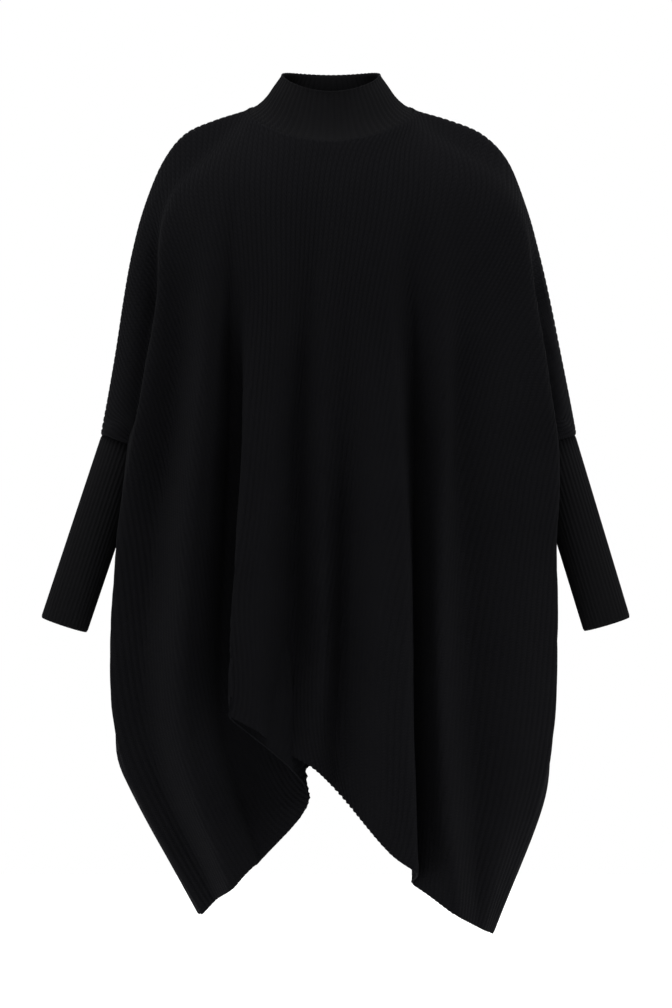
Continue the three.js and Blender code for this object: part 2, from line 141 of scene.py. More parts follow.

# %% [markdown]
# ## Folds
#
# Wide cloth that hangs from two arms and a neck falls in folds, and they decide how the garment
# looks. A cloth simulation would find folds of its own, and these have to be the garment's, so
# each one is listed. Each row below is one fold line, left to right as seen from the front:
# how much it follows the height of the arm beside it, its height at the hem, then x, then y, at
# the yoke, chest, elbow, hip, thigh and hem. The deep fold on the left doubles back under itself,
# so its root lies far to the right of its edge. The back isn't seen in the photo. It gets soft
# folds from the shoulder blades, as the same cut would hang.

# %% Fold lines
FRONT_LINES = {
    "arm_hollow_left": (0.85, -989, -205, -221, -247, -262, -262, -164, -40, -30, -40, -34, -26, -18),
    "arm_fold_left": (0.5, -984, -194, -211, -238, -257, -256, -157, -62, -70, -76, -60, -50, -34),
    "soft_hollow": (0, -970, -170, -184, -200, -218, -224, -143, -82, -78, -72, -66, -58, -50),
    "left_ridge": (0, -952, -136, -152, -165, -177, -182, -123, -98, -112, -119, -118, -107, -88),
    "left_wall": (0, -934, -127, -140, -146, -152, -158, -106, -101, -109, -110, -104, -94, -82),
    "under_layer": (0, -915, -117, -127, -127, -128, -128, -86, -102, -98, -74, -64, -62, -68),
    "deep_fold_root": (0, -841, -107, -116, -102, -80, -46, -29, -105, -104, -70, -64, -70, -78),
    "deep_fold_edge": (0, -741, -96, -101, -105, -114, -121, -123, -107, -116, -132, -138, -140, -138),
    "centre_panel": (0, -757, -62, -70, -76, -84, -88, -91, -110, -123, -131, -133, -132, -131),
    "centre_hollow": (0, -780, -22, -33, -43, -47, -52, -68, -110, -110, -98, -84, -74, -90),
    "slim_ridge": (0, -803, -3, -9, -13, -12, -12, -25, -111, -122, -122, -113, -99, -106),
    "slim_hollow": (0, -834, 17, 18, 17, 15, 11, 6, -111, -118, -111, -94, -79, -95),
    "broad_ridge": (0, -906, 42, 48, 52, 54, 58, 71, -110, -125, -134, -139, -140, -137),
    "right_fold_edge": (0, -928, 60, 67, 79, 87, 91, 99, -109, -123, -133, -136, -136, -131),
    "right_fold_root": (0, -948, 82, 94, 98, 98, 99, 100, -105, -102, -80, -72, -72, -82),
    "right_fold_wall": (0, -962, 96, 110, 116, 116, 117, 120, -103, -106, -103, -98, -96, -94),
    "right_ridge": (0, -981, 112, 130, 134, 131, 134, 148, -100, -112, -120, -122, -117, -110),
    "right_hollow": (0, -999, 140, 154, 153, 158, 170, 174, -92, -98, -94, -89, -84, -76),
    "right_panel": (0, -1007, 174, 197, 205, 213, 220, 186, -82, -90, -96, -92, -84, -60),
    "arm_fold_right": (0.5, -1012, 214, 242, 265, 266, 259, 193, -62, -70, -76, -60, -50, -36),
    "arm_hollow_right": (0.85, -1015, 228, 252, 273, 269, 264, 196, -40, -30, -40, -34, -26, -18),
}
BACK_LINES = {
    "arm_hollow_left": (0.85, -989, -205, -221, -247, -259, -258, -164, 42, 36, 44, 34, 26, 18),
    "arm_fold_left": (0.5, -981, -192, -212, -242, -256, -252, -158, 64, 70, 74, 60, 50, 34),
    "hollow_1": (0, -956, -160, -180, -200, -220, -218, -141, 84, 83, 82, 79, 72, 56),
    "ridge_1": (0, -922, -128, -144, -160, -174, -172, -118, 97, 105, 113, 118, 110, 88),
    "hollow_2": (0, -886, -98, -108, -118, -128, -124, -92, 100, 99, 96, 98, 94, 82),
    "ridge_2": (0, -852, -66, -73, -78, -84, -82, -64, 104, 111, 118, 125, 123, 108),
    "hollow_3": (0, -822, -35, -38, -40, -43, -44, -36, 104, 103, 102, 104, 102, 96),
    "ridge_3": (0, -804, -4, -4, -4, -6, -8, -6, 106, 110, 115, 122, 124, 116),
    "hollow_4": (0, -802, 29, 32, 34, 33, 30, 26, 105, 102, 100, 102, 102, 98),
    "ridge_4": (0, -826, 61, 68, 74, 76, 74, 60, 104, 112, 120, 127, 127, 116),
    "hollow_5": (0, -864, 92, 104, 114, 118, 116, 96, 101, 98, 96, 98, 98, 90),
    "ridge_5": (0, -913, 124, 142, 158, 166, 168, 134, 96, 105, 113, 119, 112, 90),
    "hollow_6": (0, -960, 162, 184, 206, 218, 222, 165, 84, 84, 84, 82, 74, 58),
    "arm_fold_right": (0.5, -1004, 214, 242, 266, 264, 256, 190, 64, 70, 74, 60, 50, 36),
    "arm_hollow_right": (0.85, -1014, 228, 252, 273, 267, 262, 196, 42, 36, 44, 34, 26, 18),
}
print("fold lines:", len(FRONT_LINES), "in front,", len(BACK_LINES), "behind")

# %% [markdown]
# ## Smooth lines
#
# Cloth bends in smooth lines. A Bezier curve would need two handles at every place, so every
# fold line is a centripetal Catmull-Rom spline, which needs none: it passes through each of its
# places without overshooting where they lie at uneven distances.

# %% Smooth lines through places
LENGTH_STEPS = 200
HEIGHT_STEPS = 400


def smooth(points, places):
    """Places on a centripetal Catmull-Rom line through points. 0 is the first point."""
    points = np.asarray(points, float)
    places = np.asarray(places, float)
    padded = np.vstack([2 * points[0] - points[1], points, 2 * points[-1] - points[-2]])
    low = np.clip(np.floor(places).astype(int), 0, len(points) - 2)
    t = (places - low)[:, None]
    p0, p1, p2, p3 = (padded[low + k] for k in range(4))
    step = [np.maximum(np.linalg.norm(b - a, axis=1), 1e-4)[:, None] ** 0.5
            for a, b in ((p0, p1), (p1, p2), (p2, p3))]
    start = ((p1 - p0) / step[0] - (p2 - p0) / (step[0] + step[1]) + (p2 - p1) / step[1]) * step[1]
    end = ((p2 - p1) / step[1] - (p3 - p1) / (step[1] + step[2]) + (p3 - p2) / step[2]) * step[1]
    square, cube = t * t, t * t * t
    return (p1 * (2 * cube - 3 * square + 1) + p2 * (3 * square - 2 * cube)
            + start * (cube - 2 * square + t) + end * (cube - square))


def evenly(points, shares):
    """Places on the same line by its length: 0 is its start and 1 is its end."""
    fine = np.linspace(0, len(points) - 1, LENGTH_STEPS * (len(points) - 1) + 1)
    line = smooth(points, fine)
    far = np.concatenate([[0], np.cumsum(np.linalg.norm(np.diff(line, axis=0), axis=1))])
    return smooth(points, np.interp(np.asarray(shares) * far[-1], far, fine))


def at_heights(points, heights):
    """Places where a falling line has given heights."""
    fine = np.linspace(0, len(points) - 1, HEIGHT_STEPS * (len(points) - 1) + 1)
    line = smooth(points, fine)
    return smooth(points, np.interp(-heights, -line[:, 2], fine))


def steps_at(steps, rows):
    return np.interp(rows, [s[0] for s in steps], [s[1] for s in steps])


def in_plane(places):
    return [(x, 0.0, z) for x, z in places]


# %% [markdown]
# ## Collar and sleeve forms
#
# The collar is a trumpet: its seam ring is wide and lies on the shoulders, and its rim stands
# close to the neck. A sleeve is a slim tube that leans out from the elbow. Both could be spun
# round an axis, but a neck is wider than it is deep, so a formula gives each place instead.

# %% Collar and sleeve forms
COLLAR_STEPS = 120
COLLAR_CURVE = smooth(list(COLLAR_PROFILE.values()),
                      np.linspace(0, len(COLLAR_PROFILE) - 1, COLLAR_STEPS + 1))


def ring_height(ring, sine):
    slope = (ring["z_back"] - ring["z_front"]) / 2
    bend = (ring["z_back"] + ring["z_front"]) / 2 - ring["z_side"]
    return ring["z_side"] + slope * sine + bend * sine * sine


def collar_places(angle, rise):
    sine = np.sin(angle)
    wide = np.interp(rise, COLLAR_CURVE[:, 0], COLLAR_CURVE[:, 1])
    deep = np.interp(rise, COLLAR_CURVE[:, 0], COLLAR_CURVE[:, 2])
    half = COLLAR_RIM["half"] + (NECK_SEAM["half"] - COLLAR_RIM["half"]) * wide
    front = COLLAR_RIM["front"] + (NECK_SEAM["front"] - COLLAR_RIM["front"]) * deep
    back = COLLAR_RIM["back"] + (NECK_SEAM["back"] - COLLAR_RIM["back"]) * deep
    low, high = ring_height(NECK_SEAM, sine), ring_height(COLLAR_RIM, sine)
    return np.stack([COLLAR_CENTRE_X + half * np.cos(angle),
                     np.where(sine < 0, front, back) * sine,
                     low + (high - low) * rise], axis=-1)


def sleeve_axes(sleeve):
    lean = math.radians(sleeve["lean"])
    down = np.array([sleeve["side"] * math.sin(lean), 0, -math.cos(lean)])
    out = np.array([sleeve["side"] * math.cos(lean), 0, math.sin(lean)])
    return down, out


def sleeve_places(sleeve, turn, along):
    """turn is 0 on the outer side and grows towards the back; along is 0 at the seam."""
    down, out = sleeve_axes(sleeve)
    half = SLEEVE_SEAM_HALF + (SLEEVE_CUFF_HALF - SLEEVE_SEAM_HALF) * along
    middle = np.array([sleeve["x"], 0, sleeve["z"]])
    deep = np.array([0, SLEEVE_DEPTH, 0])
    return (middle + np.multiply.outer(sleeve["length"] * along, down)
            + (half * np.cos(turn))[..., None] * out + (half * np.sin(turn))[..., None] * deep)


# %% [markdown]
# ## Creases
#
# A solid's folds are smooth waves, but heavy knit breaks more sharply: it stands up in a thin
# crest and sinks in a narrow trough, with flat cloth between them. Sculpting could do it by eye,
# but a crease that is tied to its fold line moves with it. Each row names a fold line,
# the row where its crease begins, the row where it is full, and how far it goes, in millimetres.
# At each side of the folds lie two more lines, the panel's edge and its rounding, and a mirrored
# line beyond the edge, so the first fold line is the one after those three.

# %% Creases
EDGE_LINES = 2
FIRST_LINE = EDGE_LINES + 1
CREASE_WIDTH = 0.32
CREASES = {
    "front": {
        "arm_hollow_left": (4, 9, 4),
        "arm_fold_left": (3, 9, 8),
        "soft_hollow": (8, 14, 4),
        "left_ridge": (6, 12, 6),
        "under_layer": (8, 13, 11),
        "deep_fold_edge": (8, 14, 3),
        "centre_hollow": (7, 12, 6),
        "slim_hollow": (15, 20, 5),
        "right_fold_edge": (8, 13, 3),
        "right_fold_root": (7, 11, 5),
        "right_ridge": (10, 14, 3),
        "right_hollow": (9, 14, 3),
        "arm_fold_right": (3, 9, 8),
        "arm_hollow_right": (4, 9, 4),
    },
    "back": {
        "arm_fold_left": (3, 9, 4),
        "ridge_1": (6, 14, 4),
        "hollow_2": (8, 14, 3),
        "ridge_2": (8, 14, 3),
        "ridge_3": (8, 15, 4),
        "hollow_4": (8, 14, 3),
        "ridge_4": (8, 14, 4),
        "ridge_5": (6, 14, 4),
        "arm_fold_right": (3, 9, 4),
    },
}


def add_creases(form, stack, across, rows, lines, creases):
    """Move the form at its creased lines away from the middle of the lines beside them."""
    for name, (start, full, depth) in creases.items():
        line = FIRST_LINE + list(lines).index(name)
        away = stack[:, line] - (stack[:, line - 1] + stack[:, line + 1]) / 2
        away /= np.linalg.norm(away, axis=1)[:, None]
        far = depth * np.clip((rows - start) / (full - start), 0, 1)
        near = np.exp(-((across - line) / CREASE_WIDTH) ** 2)
        form += far[:, None, None] * near[None, :, None] * away[:, None, :]


# %% [markdown]
# ## Panel forms
#
# A panel's edge follows the shoulder and the outer arm, goes half round the sleeve's seam, and
# falls down the side to the point of the hem. Between the two edges each row of the form is one
# smooth line over all the fold lines. The line next to each edge rounds the cloth over the arm.

# %% Panel forms
ROW_STEPS, LINE_STEPS = 4, 6


def panel_edge(name, face, rows):
    sleeve = SLEEVES[name]
    seam_top = sleeve_places(sleeve, np.array([0.0]), np.array([0.0]))[0]
    underarm = sleeve_places(sleeve, np.array([math.pi]), np.array([0.0]))[0]
    shoulder = np.array(in_plane(SHOULDER[name]) + [tuple(seam_top)])
    side = np.array([tuple(underarm)] + in_plane(SIDE[name]))
    on_shoulder = evenly(shoulder, np.clip(rows / SEAM_TOP, 0, 1))
    turn = np.clip((rows - SEAM_TOP) / (UNDERARM - SEAM_TOP), 0, 1) * math.pi
    on_seam = sleeve_places(sleeve, face * turn, np.zeros_like(turn))
    on_side = evenly(side, np.clip((rows - UNDERARM) / (HEM - UNDERARM), 0, 1))
    rows = rows[:, None]
    return np.where(rows < SEAM_TOP, on_shoulder, np.where(rows <= UNDERARM, on_seam, on_side))


def panel_form(lines, face, creases, row_steps, line_steps):
    """Places of a panel's outer face, as rows from the neck to the hem, left to right."""
    rows = np.linspace(0, HEM, HEM * row_steps + 1)
    level = np.interp(rows, LEVELS, range(len(LEVELS)))
    edges = {name: panel_edge(name, face, rows) for name in SLEEVES}
    inner = []
    for index, (arm, z_hem, *at) in enumerate(lines.values()):
        across = (index + EDGE_LINES) / (len(lines) + 2 * EDGE_LINES - 1)
        neck = collar_places(math.pi - face * across * math.pi, 0.0)
        z_thigh = HIP_Z + (z_hem - HIP_Z) * THIGH_SHARE
        heights = (*LEVEL_Z, z_thigh, z_hem)
        knots = [neck, *zip(at[:len(heights)], at[len(heights):], heights)]
        places = smooth(knots, level)
        beside = edges["left" if index < len(lines) / 2 else "right"]
        follow = arm * np.minimum(1, np.minimum(rows, HEM - rows) / YOKE)
        wanted = places[:, 2] + follow * (beside[:, 2] + steps_at(ARM_LIFT, rows) - places[:, 2])
        if arm:
            places = at_heights(knots, wanted)
        inner.append(places)

    def rounded(edge, hollow):
        places = (edge + hollow) / 2
        places[:, 0] -= np.sign(places[:, 0]) * steps_at(ARM_TUCK, rows)
        places[:, 1] += face * steps_at(ARM_ROUNDING, rows)
        return places

    left, right = edges["left"], edges["right"]
    all_lines = [left, rounded(left, inner[0])] + inner + [rounded(right, inner[-1]), right]
    # A mirrored line beyond each edge lets the cloth run smoothly on into the other panel.
    mirror = np.array([1, -1, 1])
    all_lines = [all_lines[1] * mirror] + all_lines + [all_lines[-2] * mirror]
    stack = np.stack(all_lines, axis=1)
    count = stack.shape[1] - 2
    across = 1 + np.linspace(0, count - 1, (count - 1) * line_steps + 1)
    form = np.stack([smooth(points, across) for points in stack])
    add_creases(form, stack, across, rows, lines, creases)
    ring = np.linspace(0, 1, form.shape[1])
    form[0] = collar_places(math.pi - face * ring * math.pi, 0.0)
    return form


forms = {
    "front": panel_form(FRONT_LINES, -1, CREASES["front"], ROW_STEPS, LINE_STEPS),
    "back": panel_form(BACK_LINES, 1, CREASES["back"], ROW_STEPS, LINE_STEPS),
}
for name, form in forms.items():
    low, high = form.min((0, 1)).round(), form.max((0, 1)).round()
    print(name, "form:", form.shape[:2], "from", low, "to", high)

# %% [markdown]
# ## From the worn form to the flat cut
#
# The ribs run straight down the flat cut, and the cut is a wide rectangle with a scoop for the
# neck. To find where each rib lies on the worn form, the form is laid out flat: its edges go
# to the edges of the cut, in step with their real lengths, and every other place settles
# between its neighbours, like a net of springs. The springs are the cotangent weights of the
# form's triangles, which bend the angles of the cloth as little as those edges allow. The form
# is no shape that flat cloth can quite take, so the ribs close up where it is narrow for the cut,
# as on the chest, and spread where it is wide.

# %% Lay the form out flat
NECK_HALF = 0.150
NECK_SCOOP = {"front": 0.060, "back": 0.022}
SCOOP_POWER = 2.2
HALF_WIDTH = 0.580
CUT_LENGTH = 0.715
SPRING_RANGE = (0.02, 20)
SETTLE_STEPS = 1500
SETTLED = 1e-14


def lengths(places):
    """How far each place of a line is from its start, along it."""
    return np.concatenate([[0], np.cumsum(np.linalg.norm(np.diff(places, axis=0), axis=1))])


def scoop(across, name):
    """How far the neck edge lies below the shoulder line of the cut."""
    share = np.clip(np.abs(across) / NECK_HALF, 0, 1)
    return NECK_SCOOP[name] * (1 - share ** SCOOP_POWER)


def spread(places, start, end):
    far = lengths(places)
    return start + (end - start) * far / far[-1]


def flat_edges(form, name):
    """The cut's places of the form's four edges, as (across, down), with NaN inside."""
    rows, columns = form.shape[:2]
    flat = np.full((rows, columns, 2), np.nan)
    top = SEAM_TOP * ROW_STEPS
    flat[0, :, 0] = spread(form[0], -NECK_HALF, NECK_HALF)
    flat[0, :, 1] = scoop(flat[0, :, 0], name)
    for column, sign in ((0, -1), (columns - 1, 1)):
        edge = form[:, column]
        flat[:top + 1, column, 0] = spread(edge[:top + 1], sign * NECK_HALF, sign * HALF_WIDTH)
        flat[:top + 1, column, 1] = 0
        flat[top:, column, 0] = sign * HALF_WIDTH
        flat[top:, column, 1] = spread(edge[top:], 0, CUT_LENGTH)
    flat[-1, :, 0] = spread(form[-1], -HALF_WIDTH, HALF_WIDTH)
    flat[-1, :, 1] = CUT_LENGTH
    return flat


def triangles(rows, columns):
    at = np.arange(rows * columns).reshape(rows, columns)
    a, b, c, d = at[:-1, :-1], at[1:, :-1], at[1:, 1:], at[:-1, 1:]
    halves = (np.stack([a, b, c], -1), np.stack([a, c, d], -1))
    return np.concatenate([half.reshape(-1, 3) for half in halves])


def springs(points, faces):
    """Pairs of neighbours and the cotangent weight of each."""
    pairs, weights = [], []
    for k in range(3):
        tip, one, two = faces[:, k], faces[:, (k + 1) % 3], faces[:, (k + 2) % 3]
        u, v = points[one] - points[tip], points[two] - points[tip]
        sine = np.maximum(np.linalg.norm(np.cross(u, v), axis=1), 1e-9)
        pairs.append(np.stack([one, two], 1))
        weights.append(np.clip((u * v).sum(1) / sine, *SPRING_RANGE))
    return np.concatenate(pairs), np.concatenate(weights)


def settle(points, faces, fixed, known):
    """Solve the net of springs with conjugate gradients: known values at the fixed places."""
    pairs, weights = springs(points, faces)
    one, two = pairs.T
    count = len(points)
    weight_sum = np.bincount(one, weights, count) + np.bincount(two, weights, count)

    def pull(x):
        return (weight_sum * x - np.bincount(one, weights * x[two], count)
                - np.bincount(two, weights * x[one], count))

    free = ~fixed
    result = np.where(fixed, known, 0.0)
    rest = np.where(free, -pull(result), 0)
    step = rest / weight_sum
    energy = rest @ (rest / weight_sum)
    for _ in range(SETTLE_STEPS):
        pulled = np.where(free, pull(step), 0)
        size = energy / (step @ pulled)
        result = result + size * step
        rest = rest - size * pulled
        smoothed = rest / weight_sum
        new_energy = rest @ smoothed
        if new_energy < SETTLED:
            break
        step = smoothed + new_energy / energy * step
        energy = new_energy
    return result


def lay_flat(form, name):
    rows, columns = form.shape[:2]
    known = flat_edges(form, name).reshape(-1, 2)
    fixed = ~np.isnan(known[:, 0])
    points = form.reshape(-1, 3) * MM
    faces = triangles(rows, columns)
    known = np.nan_to_num(known)
    flat = np.stack([settle(points, faces, fixed, known[:, k]) for k in range(2)], 1)
    return flat, faces, points


flats = {}
for name, form in forms.items():
    flat, faces, points = lay_flat(form, name)
    side = flat[faces]
    u, v = side[:, 1] - side[:, 0], side[:, 2] - side[:, 0]
    turned = (u[:, 0] * v[:, 1] - u[:, 1] * v[:, 0]) < 0
    worn = 0.5 * np.linalg.norm(np.cross(points[faces[:, 1]] - points[faces[:, 0]],
                                         points[faces[:, 2]] - points[faces[:, 0]]), axis=1).sum()
    flats[name] = (flat, faces, points)
    print(name, "worn area", round(worn, 3), "m2; flat faces turned over:",
          min(turned.sum(), (~turned).sum()), "of", len(faces))

# %% [markdown]
# ## Yarn, ribs and edges
#
# A rib is a raised column of stitches with a sunk column beside it. The body has a rib every 7.8
# mm of its flat cut. Where two pieces are linked, the edges of both turn in, so a seam shows as a
# soft groove and not as a cut. A hem or cuff is cast off, which draws its last course in a
# little, and the collar's rim ends in a chain of yarn that stands out. Worn cloth also sways a
# little, but is calm near its seams.

# %% Knit sizes
RIB_PITCH = 0.0078
RIB_HEIGHT = 0.0011
RIB_PROFILE = (0.0, 1.0, 1.0)
ROW_PITCH = 0.010
EDGE_ROWS = (0.0, 0.0011, 0.0024, 0.0042, 0.0075)
WALL = 0.0022
HALF_SEAM = 0.00015
SEAM_TURN = {"depth": 0.0013, "reach": 0.0026}
CAST_OFF = {"depth": 0.0009, "reach": 0.0018}
RIM_CHAIN = {"depth": -0.0010, "reach": 0.0026}
SWAY = {"height": 0.0016, "size": 0.075}
CALM_EDGE = 0.02


def row_places(length):
    """Places of the rows along a piece, close together at both ends."""
    near = np.array(EDGE_ROWS)
    middle = length - 2 * near[-1]
    even = np.linspace(near[-1], length - near[-1], round(middle / ROW_PITCH) + 1)
    return np.concatenate([near[:-1], even, length - near[:-1][::-1]])


def turned_in(distance, turn):
    """How far the cloth sinks at a distance from an edge that turns in."""
    return turn["depth"] * np.exp(-(distance / turn["reach"]) ** 2)


def sway(points):
    """Small unevenness of hand-smoothed cloth, the same on every run."""
    return SWAY["height"] * np.array([noise.noise(Vector(p) / SWAY["size"]) for p in points])


# %% [markdown]
# ## A piece of cloth
#
# Every piece starts as a `create_grid`, with its columns along the ribs. Its UV map, named cut,
# holds the place of each vertex on the flat cut in metres, so the stitches of the finish follow
# the ribs over every fold. The cloth's thickness is a Solidify modifier that grows inwards.

# %% Grid and piece
def grid(columns, rows):
    """A grid of quads as a bmesh, and each vertex's column and row."""
    bm = bmesh.new()
    bmesh.ops.create_grid(bm, x_segments=columns, y_segments=rows, size=1.0)
    bm.verts.ensure_lookup_table()
    co = np.array([v.co[:] for v in bm.verts])
    column = np.rint((co[:, 0] + 1) / 2 * columns).astype(int)
    row = np.rint((1 - co[:, 1]) / 2 * rows).astype(int)
    return bm, column, row


def piece_of_cloth(name, bm, places, cut, material):
    """Move the grid's vertices to their places and make a piece with a wall."""
    layer = bm.loops.layers.uv.new("cut")
    for vert, place in zip(bm.verts, places):
        vert.co = place
    bm.verts.index_update()
    for face in bm.faces:
        face.smooth = True
        for loop in face.loops:
            loop[layer].uv = cut[loop.vert.index]
    bmesh.ops.remove_doubles(bm, verts=bm.verts[:], dist=1e-6)
    mesh = bpy.data.meshes.new(name)
    bm.to_mesh(mesh)
    bm.free()
    mesh.materials.append(material)
    piece = bpy.data.objects.new(name, mesh)
    bpy.context.collection.objects.link(piece)
    wall = piece.modifiers.new("wall", "SOLIDIFY")
    wall.thickness = WALL
    wall.offset = -1
    return piece


# %% [markdown]
# ## Knitting a panel
#
# Three columns make a rib: one in the groove and two on its top. Each vertex is looked up in the
# laid-out form and put where that place is worn, and the rib's height is added along the cloth's
# normal, so the ribs are real relief that catches the light.

# %% Knit a panel
SLIVER = 1e-14


def vertex_normals(points, faces):
    sides = points[faces[:, 1:]] - points[faces[:, :1]]
    crossed = np.cross(sides[:, 0], sides[:, 1])
    normals = np.zeros_like(points)
    for corner in range(3):
        for axis in range(3):
            normals[:, axis] += np.bincount(faces[:, corner], crossed[:, axis], len(points))
    return normals / np.maximum(np.linalg.norm(normals, axis=1), 1e-12)[:, None]


def cross_2d(u, v):
    return u[:, 0] * v[:, 1] - u[:, 1] * v[:, 0]


def look_up(flat, faces, values, wanted):
    """Values at wanted places of the laid-out form, by the triangle that each lies in."""
    tree = BVHTree.FromPolygons([(x, y, 0.0) for x, y in flat], faces.tolist())
    found = np.array([tree.find_nearest((x, y, 0.0))[2] for x, y in wanted])
    corner, one, two = (flat[faces[found, k]] for k in range(3))
    whole = cross_2d(one - corner, two - corner)
    whole = np.where(np.abs(whole) < SLIVER, SLIVER, whole)
    share_one = cross_2d(wanted - corner, two - corner) / whole
    share_two = cross_2d(one - corner, wanted - corner) / whole
    shares = np.clip(np.stack([1 - share_one - share_two, share_one, share_two], 1), 0, 1)
    shares /= shares.sum(1)[:, None]
    return (values[faces[found]] * shares[:, :, None]).sum(1)


def knit_panel(name, face, material):
    """face is -1 in front and 1 behind."""
    flat, faces, points = flats[name]
    per_rib = len(RIB_PROFILE)
    columns = round(2 * HALF_WIDTH / RIB_PITCH) * per_rib
    downs = row_places(CUT_LENGTH) / CUT_LENGTH
    bm, column, row = grid(columns, len(downs) - 1)
    across = HALF_WIDTH * (2 * column / columns - 1)
    top = scoop(across, name)
    down = top + (CUT_LENGTH - top) * downs[row]
    cut = np.stack([across, down], 1)
    normals = vertex_normals(points, faces) * -face
    worn = look_up(flat, faces, np.hstack([points, normals]), cut)
    places, normal = worn[:, :3], worn[:, 3:]
    normal /= np.linalg.norm(normal, axis=1)[:, None]
    to_seam = np.minimum(down - top, HALF_WIDTH - np.abs(across))
    inner = np.clip(to_seam / CALM_EDGE, 0, 1) * np.clip((CUT_LENGTH - down) / CALM_EDGE, 0, 1)
    height = (np.array(RIB_PROFILE)[column % per_rib] - 1) * RIB_HEIGHT
    height += sway(places) * inner
    height -= turned_in(to_seam, SEAM_TURN) + turned_in(CUT_LENGTH - down, CAST_OFF)
    places = places + normal * height[:, None]
    places[:, 1] += face * HALF_SEAM
    if face < 0:
        bmesh.ops.reverse_faces(bm, faces=bm.faces[:])
    return piece_of_cloth(name + "_knit", bm, places, cut, material)


# %% [markdown]
# ## Knitting a tube
#
# The collar and the sleeves are knitted as flat bands and closed by a seam. A cylinder would
# have no seam to end its UV map at, so here too a grid is bent round, and its first and last
# columns are put in the same place and merged. A tube rib has four columns, because these
# ribs are finer and stand out more than the body's.

# %% Knit a tube
TUBE_PROFILE = (0.0, 0.8, 1.0, 0.8)
TUBE_RIB_HEIGHT = 0.0018


def knit_tube(name, ribs, place_at, girth, length, last_course, material):
    """place_at gives a place for a turn and a share of the length, with its seam at 0."""
    per_rib = len(TUBE_PROFILE)
    columns = ribs * per_rib
    alongs = row_places(length)
    bm, column, row = grid(columns, len(alongs) - 1)
    turn = 2 * math.pi * (column % columns) / columns
    along = alongs[row]
    share = along / length
    step = 1e-3
    before, after = np.clip(share - step, 0, 1), np.clip(share + step, 0, 1)
    places = place_at(turn, share) * MM
    normal = np.cross(place_at(turn + step, share) - place_at(turn - step, share),
                      place_at(turn, after) - place_at(turn, before))
    normal /= np.linalg.norm(normal, axis=1)[:, None]
    outwards = np.sign(((places - places.mean(0)) * normal).sum())
    height = (np.array(TUBE_PROFILE)[column % per_rib] - 1) * TUBE_RIB_HEIGHT
    height -= turned_in(along, SEAM_TURN) + turned_in(length - along, last_course)
    places = places + normal * (outwards * height)[:, None]
    if outwards > 0:
        bmesh.ops.reverse_faces(bm, faces=bm.faces[:])
    cut = np.stack([girth * column / columns, along], 1)
    return piece_of_cloth(name, bm, places, cut, material)


# %% [markdown]
# ## Stitches
#
# Seen close, a rib is a column of V-shaped stitches, and the groove beside it is a column of
# small purl bumps. The garment has far too many to model each as a loop of yarn, so they are
# part of the finish. The node group works that pattern out from the cut's place in metres. It puts
# out the relief of the yarn and a tone for the colour. The tone is partly a random tone of the
# fibres and partly painted shade: fibres that stand out are a little lighter, and the colour is
# darker between the stitches, where shade falls.

# %% Stitch pattern
COURSE = 0.0031
YARN_SLANT = 2.4
SPINE = {"steepness": 9.0, "softness": 0.3, "floor": 0.5}
FIBRES = {"scale": 1400.0, "detail": 3.0, "roughness": 0.7, "relief": 0.5, "tone": 0.8}
CLOUDS = {"scale": 9.0, "detail": 2.0, "roughness": 0.5, "tone": 0.35}
# How much paler the colour is painted where the yarn stands out: painted shade between the stitches.
STITCH_SHADE = 0.45
SHADE = 0.45


def math_node(tree, operation, *inputs):
    node = tree.nodes.new("ShaderNodeMath")
    node.operation = operation
    for socket, value in zip(node.inputs, inputs):
        if isinstance(value, (int, float)):
            socket.default_value = value
        else:
            tree.links.new(value, socket)
    return node.outputs[0]


def noise_node(tree, vector, kind):
    node = tree.nodes.new("ShaderNodeTexNoise")
    tree.links.new(vector, node.inputs["Vector"])
    for name in ("scale", "detail", "roughness"):
        node.inputs[name.capitalize()].default_value = kind[name]
    return node.outputs["Fac"]


def stitch_group():
    tree = bpy.data.node_groups.new("rib_stitches", "ShaderNodeTree")
    for name, kind in (("Cut", "NodeSocketVector"), ("Rib pitch", "NodeSocketFloat")):
        tree.interface.new_socket(name, in_out="INPUT", socket_type=kind)
    for name in ("Relief", "Tone and shade"):
        tree.interface.new_socket(name, in_out="OUTPUT", socket_type="NodeSocketFloat")
    given = tree.nodes.new("NodeGroupInput").outputs
    put_out = tree.nodes.new("NodeGroupOutput").inputs
    parts = tree.nodes.new("ShaderNodeSeparateXYZ")
    tree.links.new(given["Cut"], parts.inputs[0])
    rib = math_node(tree, "FRACT", math_node(tree, "DIVIDE", parts.outputs["X"], given["Rib pitch"]))
    from_middle = math_node(tree, "ABSOLUTE", math_node(tree, "SUBTRACT", rib, 0.5))
    course = math_node(tree, "DIVIDE", parts.outputs["Y"], COURSE)
    slanted = math_node(tree, "MULTIPLY_ADD", from_middle, YARN_SLANT, course)
    wave = math_node(tree, "SINE", math_node(tree, "MULTIPLY", slanted, math.pi))
    yarn = math_node(tree, "ABSOLUTE", wave)
    steep = math_node(tree, "MULTIPLY", from_middle, SPINE["steepness"])
    spine = math_node(tree, "SMOOTH_MIN", steep, 1.0, SPINE["softness"])
    rounding = math_node(tree, "MULTIPLY_ADD", spine, 1 - SPINE["floor"], SPINE["floor"])
    relief = math_node(tree, "MULTIPLY", yarn, rounding)
    fibres = noise_node(tree, given["Cut"], FIBRES)
    cloudy = noise_node(tree, given["Cut"], CLOUDS)
    relief = math_node(tree, "MULTIPLY_ADD", fibres, FIBRES["relief"], relief)
    tree.links.new(relief, put_out["Relief"])
    # Painted shade: the colour is paler where the yarn's relief stands out and darker between the
    # stitches.
    painted_stitch_shade = math_node(tree, "MULTIPLY", relief, STITCH_SHADE)
    tone = math_node(tree, "MULTIPLY_ADD", fibres, FIBRES["tone"], painted_stitch_shade)
    shaded = math_node(tree, "SUBTRACT", tone, SHADE)
    tone = math_node(tree, "MULTIPLY_ADD", cloudy, CLOUDS["tone"], shaded)
    tree.links.new(tone, put_out["Tone and shade"])
    return tree


stitches = stitch_group()
